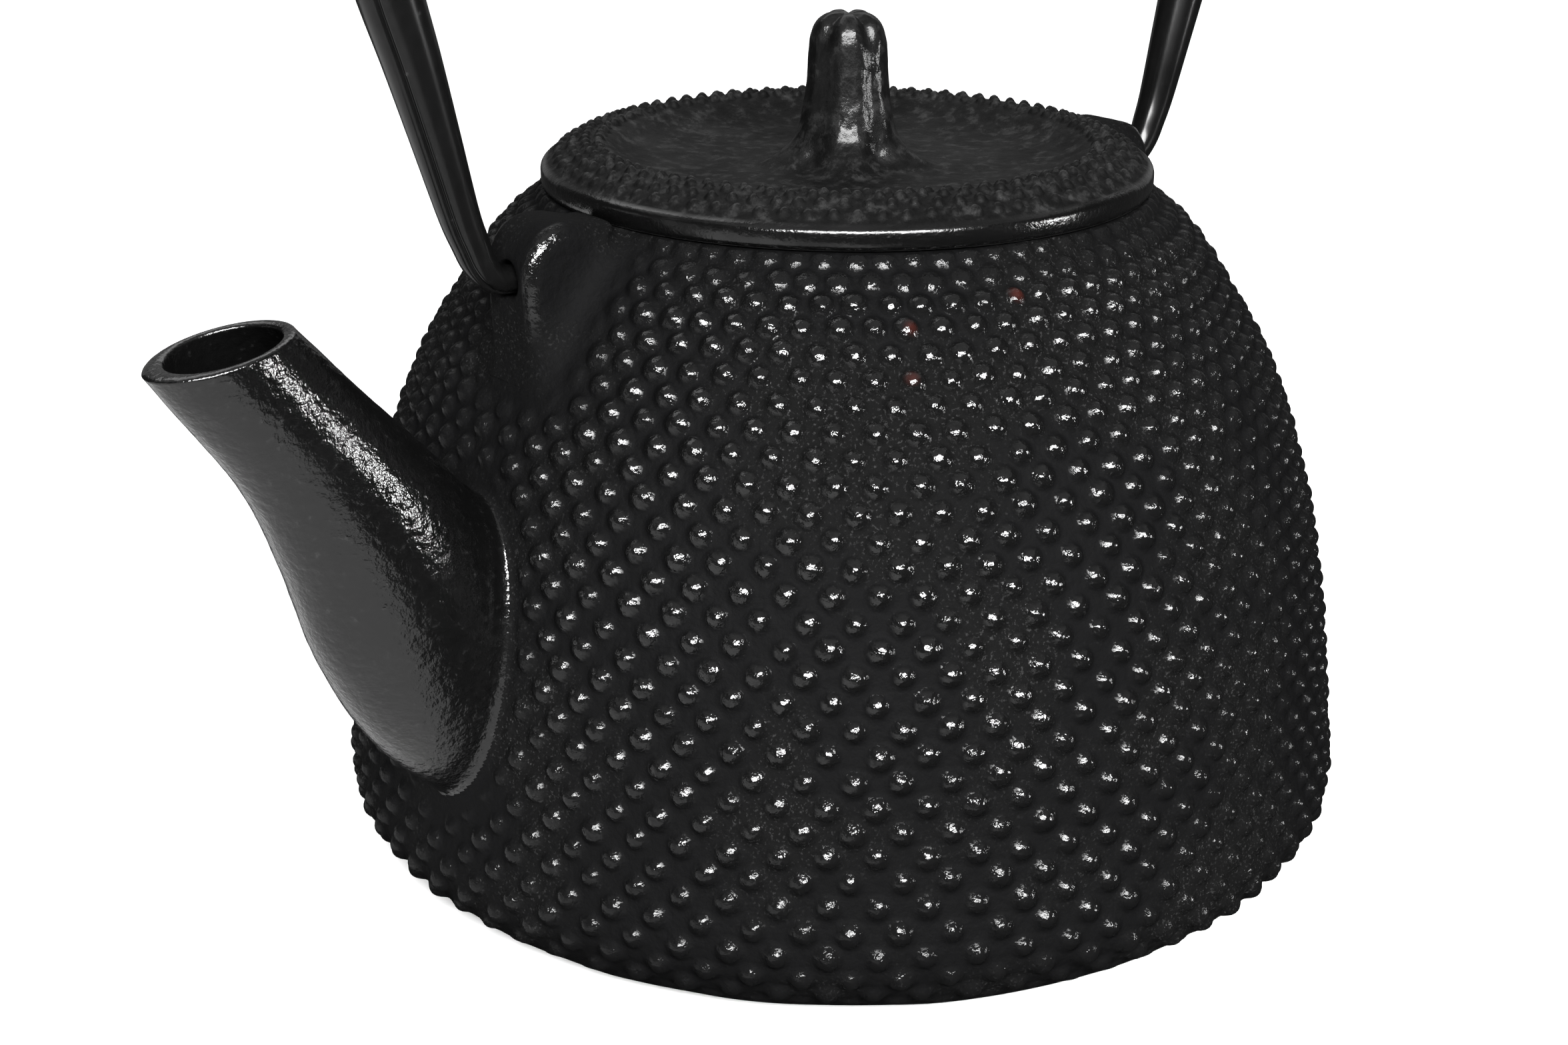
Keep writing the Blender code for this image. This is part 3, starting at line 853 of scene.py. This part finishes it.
def lid_plate(material, under_material):
    columns = 12 * BEADS_PER_ROW
    curve = catmull_rom(LID_TOP, 16)
    length = arc_length(curve)[-1]
    beaded = length - BEADED_LENGTH
    at = np.concatenate([np.arange(0.0, beaded, 0.5), np.arange(beaded, length, 0.2)])
    profile = np.vstack([resample(curve, at), LID_EDGE])
    points = turned_points(profile, columns)
    theta = np.tile(np.arange(columns) * TAU / columns, len(profile))
    radius = np.hypot(points[:, 0], points[:, 1])
    height = np.where(points[:, 2] > 101.0, beads(theta, radius), 0.0)
    points[:, 2] += height
    in_dish = 1.0 - smooth_step(31.0, 34.0, radius)
    points[:, 2] += in_dish * 0.12 * waves(points, 7.0, 21, 3)
    band = smooth_step(43.2, 43.7, radius)
    points[:, 2] += band * 0.07 * waves(points, 9.0, 23, 2)
    faces = grid_faces(len(profile), columns)
    plate = mesh_object("lid_plate", points, faces, "lid", material)
    shine = 0.22 * smooth_step(0.25, 0.6, height)
    set_attribute(plate, "gloss", np.maximum(shine, smooth_step(42.9, 43.3, radius)))
    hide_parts("lid")
    under = [(43.4, LID_UNDERSIDE + 0.02), (39.4, LID_UNDERSIDE), (39.0, 97.5), (39.0, 92.5),
             (38.6, 92.0), (36.9, 92.0), (36.4, 92.4), (36.2, 95.6), (35.4, 96.4), (20.0, 96.9),
             (1.0, 97.2)]
    turned("lid_underside", under, 200, "lid", under_material)
    return plate


def knob(material):
    """The fluted knob: a five-lobed stem whose lobes run out as roots over the dish."""
    rows, columns = 150, 240
    angle = np.arange(columns) * TAU / columns
    lobe_phase = angle - KNOB_TURN
    groove = 0.5 - 0.5 * np.cos(KNOB_LOBES * lobe_phase)
    groove = groove ** 2.4
    root = 0.5 - 0.5 * np.cos(KNOB_LOBES * lobe_phase + math.pi)
    t = np.linspace(0.0, 1.0, rows)
    outline = catmull_rom(KNOB_OUTLINE, 16)
    line = resample(outline, t * arc_length(outline)[-1])
    radius, height = line[:, :1], line[:, 1:2]
    depth = 0.07 + 0.16 * smooth_step(116.0, 121.0, height)
    depth = depth + 0.05 * (1.0 - smooth_step(101.0, 107.0, height))
    reach = radius * (1.0 - depth * groove[None, :])
    spread = 1.0 - smooth_step(100.3, 104.8, height)
    reach = reach + spread * 1.6 * (root[None, :] - 0.5)
    lift = height + spread * 0.5 * root[None, :] ** 3 * smooth_step(100.1, 100.9, height)
    dip = smooth_step(120.0, 121.4, height) * smooth_step(0.2, 2.5, radius)
    lift = lift - 0.55 * groove[None, :] * dip
    points = np.stack([reach * np.cos(angle), reach * np.sin(angle), lift + 0 * reach], axis=-1)
    points = points.reshape(-1, 3)
    points[:, :2] *= (1.0 + 0.012 * waves(points, 4.0, 31, 3))[:, None]
    faces = grid_faces(rows, columns)
    obj = mesh_object("knob", points, faces, "lid", material)
    set_attribute(obj, "gloss", 0.34 * smooth_step(100.8, 104.0, points[:, 2]))
    return obj


# ---------------------------------------------------------------- the handle
def handle_radius(out, height):
    if out < HANDLE_STATIONS[1][0] and height < HINGE_HEIGHT + 1.0:
        return HANDLE_PIN_RADIUS
    if height < HANDLE_LOW_HEIGHT:
        share = max(0.0, (height - HINGE_HEIGHT) / (HANDLE_LOW_HEIGHT - HINGE_HEIGHT))
        return HANDLE_PIN_RADIUS + (HANDLE_LOW_RADIUS - HANDLE_PIN_RADIUS) * math.sqrt(share)
    share = min(1.0, (height - HANDLE_LOW_HEIGHT) / (HANDLE_GRIP_HEIGHT - HANDLE_LOW_HEIGHT))
    swell = share * (1.2 - 0.2 * share ** 4)
    return HANDLE_LOW_RADIUS + (HANDLE_GRIP_RADIUS - HANDLE_LOW_RADIUS) * swell


def handle(material):
    """The rolled sheet handle, with its seam as a real groove down the outer side."""
    half = catmull_rom(HANDLE_STATIONS, 24)
    whole = np.vstack([half * [-1.0, 1.0], half[::-1][1:]])
    along = arc_length(whole)
    line = resample(whole, np.linspace(0.0, along[-1], 520))
    slope = np.gradient(line, axis=0)
    slope /= np.linalg.norm(slope, axis=1)[:, None]
    seam = np.array([-a for a in SEAM_HALF[::-1]] + [0.0] + SEAM_HALF)
    angle = np.concatenate([seam, np.linspace(1.1, TAU - 1.1, 44)])
    radius = np.array([handle_radius(abs(x), z) for x, z in line])[:, None]
    groove = SEAM_DEPTH * np.exp(-(angle[None, :] * radius / SEAM_WIDTH) ** 2)
    reach = radius - groove * np.minimum(1.0, radius / 3.0)
    # Turned from the outward side towards -Y.
    turn = angle[None, :] + SEAM_TURN
    out_x, out_z = -slope[:, 1:2], slope[:, 0:1]
    points = np.stack([
        line[:, :1] + reach * np.cos(turn) * out_x,
        -reach * np.sin(turn),
        line[:, 1:] + reach * np.cos(turn) * out_z], axis=-1)
    rows, columns = points.shape[:2]
    faces = grid_faces(rows, columns)
    flat = points.reshape(-1, 3)
    caps = [tuple(range(columns))[::-1], tuple((rows - 1) * columns + j for j in range(columns))]
    faces = [tuple(f) for f in faces] + caps
    obj = mesh_object("handle_tube", flat, faces, "handle", material)
    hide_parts("bail_handle")
    return obj


# ---------------------------------------------------------------- the infuser
def infuser(rim_material, mesh_material):
    """The rim and skirt, the round mesh wall, the mesh floor and the hoop that joins them."""
    low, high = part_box("infuser_rim")
    rim_out, rim_low, rim_top = high.x / MM, low.z / MM, high.z / MM
    wall_low, wall_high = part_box("infuser_wall")
    wall, floor = wall_high.x / MM, wall_low.z / MM
    flange = rim_top - 0.6
    profile = [(wall + 0.3, rim_low), (wall + 0.3, rim_top - 0.25), (wall + 0.55, rim_top),
               (rim_out - 0.3, rim_top), (rim_out, rim_top - 0.3), (rim_out - 0.3, flange),
               (wall + 1.2, flange), (wall + 0.9, flange - 0.3), (wall + 0.9, rim_low),
               (wall + 0.3, rim_low)]
    rim = turned("infuser_collar", profile, 180, "infuser", rim_material)
    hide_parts("infuser_rim")
    columns, rows = MESH_COLUMNS, MESH_ROWS
    ring = []
    for i in range(rows):
        twist = 0.5 * (i % 2)
        z = floor + 0.3 + (wall_high.z / MM - floor - 0.6) * i / (rows - 1)
        for j in range(columns):
            a = TAU * (j + twist) / columns
            ring.append(((wall - 0.3) * math.cos(a), (wall - 0.3) * math.sin(a), z))
    faces = []
    for i in range(rows - 2):
        for j in range(columns):
            shift = i % 2
            left = (i + 1) * columns + (j - 1 + shift) % columns
            right = (i + 1) * columns + (j + shift) % columns
            faces.append((i * columns + j, right, (i + 2) * columns + j, left))
    cage = mesh_object("infuser_mesh", np.array(ring), faces, "infuser", mesh_material)
    wires(cage)
    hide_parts("infuser_wall")
    disc_faces, disc_points, index = [], [], {}
    pitch, reach = MESH_PITCH, wall - 1.2
    count = int(reach / pitch) + 1
    for i in range(-count, count + 1):
        for j in range(-count, count + 1):
            if math.hypot(i * pitch, j * pitch) < reach:
                index[i, j] = len(disc_points)
                disc_points.append((i * pitch, j * pitch, floor + 0.3))
    for i, j in index:
        corner = [(i, j), (i + 1, j), (i + 1, j + 1), (i, j + 1)]
        if all(c in index for c in corner):
            disc_faces.append(tuple(index[c] for c in corner))
    disc = mesh_object("infuser_disc", np.array(disc_points), disc_faces, "infuser",
                       mesh_material)
    wires(disc)
    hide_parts("infuser_base")
    hoop_out = wall - 0.65
    hoop = [(hoop_out, floor + 0.1), (hoop_out, floor + 2.4), (hoop_out - 0.3, floor + 2.6),
            (hoop_out - 0.6, floor + 2.4), (hoop_out - 0.6, floor + 0.1), (hoop_out, floor + 0.1)]
    turned("infuser_hoop", hoop, 160, "infuser", rim_material)


def wires(obj):
    """Turn the edges of a net into wires."""
    modifier = obj.modifiers.new("wires", "WIREFRAME")
    modifier.thickness = WIRE * MM
    modifier.use_even_offset = False


# ---------------------------------------------------------------- stage, lights, camera
def stage():
    bpy.ops.mesh.primitive_plane_add(size=8.0)
    floor = bpy.context.object
    floor.name = "floor"
    material, nodes, _ = new_material("floor")
    shader = nodes["Principled BSDF"]
    shader.inputs["Base Color"].default_value = (0.85, 0.85, 0.85, 1.0)
    shader.inputs["Roughness"].default_value = 0.6
    shader.inputs["Specular IOR Level"].default_value = 0.0
    floor.visible_glossy = False
    floor.data.materials.append(material)


def area_light(name, location, target, width, height, power):
    data = bpy.data.lights.new(name, "AREA")
    data.shape = "RECTANGLE"
    data.size, data.size_y = width, height
    data.energy = power
    light = bpy.data.objects.new(name, data)
    bpy.context.scene.collection.objects.link(light)
    light.location = location
    aim = np.array(target) - np.array(location)
    light.visible_camera = False
    light.rotation_mode = "QUATERNION"
    light.rotation_quaternion = Vector(aim).to_track_quat("-Z", "Y")
    return light


def world():
    """White to the camera, and nearly dark to everything else."""
    surroundings = bpy.data.worlds.new("studio")
    bpy.context.scene.world = surroundings
    surroundings.use_nodes = True
    nodes, links = surroundings.node_tree.nodes, surroundings.node_tree.links
    seen = nodes["Background"]
    seen.inputs["Color"].default_value = (1.0, 1.0, 1.0, 1.0)
    seen.inputs["Strength"].default_value = 1.0
    dim = nodes.new("ShaderNodeBackground")
    dim.inputs["Color"].default_value = (1.0, 1.0, 1.0, 1.0)
    dim.inputs["Strength"].default_value = 0.04
    path = nodes.new("ShaderNodeLightPath")
    mix = nodes.new("ShaderNodeMixShader")
    links.new(path.outputs["Is Camera Ray"], mix.inputs[0])
    links.new(dim.outputs[0], mix.inputs[1])
    links.new(seen.outputs[0], mix.inputs[2])
    links.new(mix.outputs[0], nodes["World Output"].inputs["Surface"])


CAMERA_PLACE = (-0.23333, -0.26329, 0.17534)
CAMERA_HEADING = math.radians(-40.12)
CAMERA_PITCH = math.radians(20.35)
CAMERA_ROLL = math.radians(0.244)
CAMERA_LENS = 56.88


def camera():
    data = bpy.data.cameras.new("camera")
    data.lens = CAMERA_LENS
    data.clip_start = 0.01
    obj = bpy.data.objects.new("camera", data)
    bpy.context.scene.collection.objects.link(obj)
    turn = (Matrix.Rotation(CAMERA_HEADING, 4, "Z")
            @ Matrix.Rotation(math.radians(90.0) - CAMERA_PITCH, 4, "X")
            @ Matrix.Rotation(CAMERA_ROLL, 4, "Z"))
    obj.matrix_world = Matrix.Translation(CAMERA_PLACE) @ turn
    bpy.context.scene.camera = obj


def lights():
    """A softbox over the camera, cards at both sides and low at the left, and soft fill light."""
    toward = np.array([math.sin(CAMERA_HEADING), -math.cos(CAMERA_HEADING)])
    right = np.array([math.cos(CAMERA_HEADING), math.sin(CAMERA_HEADING)])

    def place(front, aside, height):
        spot = toward * front + right * aside
        return (spot[0], spot[1], height)

    area_light("key", place(0.95, 0.12, 0.62), (0.0, 0.0, 0.06), 1.0, 0.34, 62.0)
    area_light("card_left", place(0.25, -0.9, 0.10), (-0.05, 0.0, 0.06), 0.6, 0.3, 0.28)
    area_light("card_right", place(0.20, 0.88, 0.10), (-0.05, 0.0, 0.08), 0.12, 0.16, 3.2)
    area_light("card_low", (-0.36, 0.05, 0.002), (-0.36, 0.05, 1.0), 0.56, 0.5, 0.95)
    area_light("floor_fill", place(-1.3, 0.0, 1.3), place(-1.3, 0.0, 0.0), 2.6, 1.2, 16.0)
    area_light("backdrop", place(-1.3, 0.0, 0.45), (0.0, 0.0, 0.1), 2.4, 0.9, 1.5)
    data = bpy.data.lights.new("wash", "SUN")
    data.energy = 0.8
    data.angle = math.radians(100.0)
    sun = bpy.data.objects.new("wash", data)
    bpy.context.scene.collection.objects.link(sun)


# ---------------------------------------------------------------- build
def main():
    hail = hail_enamel()
    gloss = spout_enamel()
    lid_paint = lid_enamel()
    dull = inside_enamel()
    body_skin(hail)
    body_inside(dull)
    spout(gloss)
    lug("lug_front", -1, hail)
    lug("lug_back", 1, hail)
    lid_plate(lid_paint, dull)
    knob(lid_paint)
    handle(handle_enamel())
    infuser(steel("rim_steel", (1.0, 1.0, 8.0)), steel("mesh_steel", (1.0, 1.0, 1.0)))
    stage()
    world()
    camera()
    lights()
    bpy.context.scene.view_settings.view_transform = "Standard"


main()
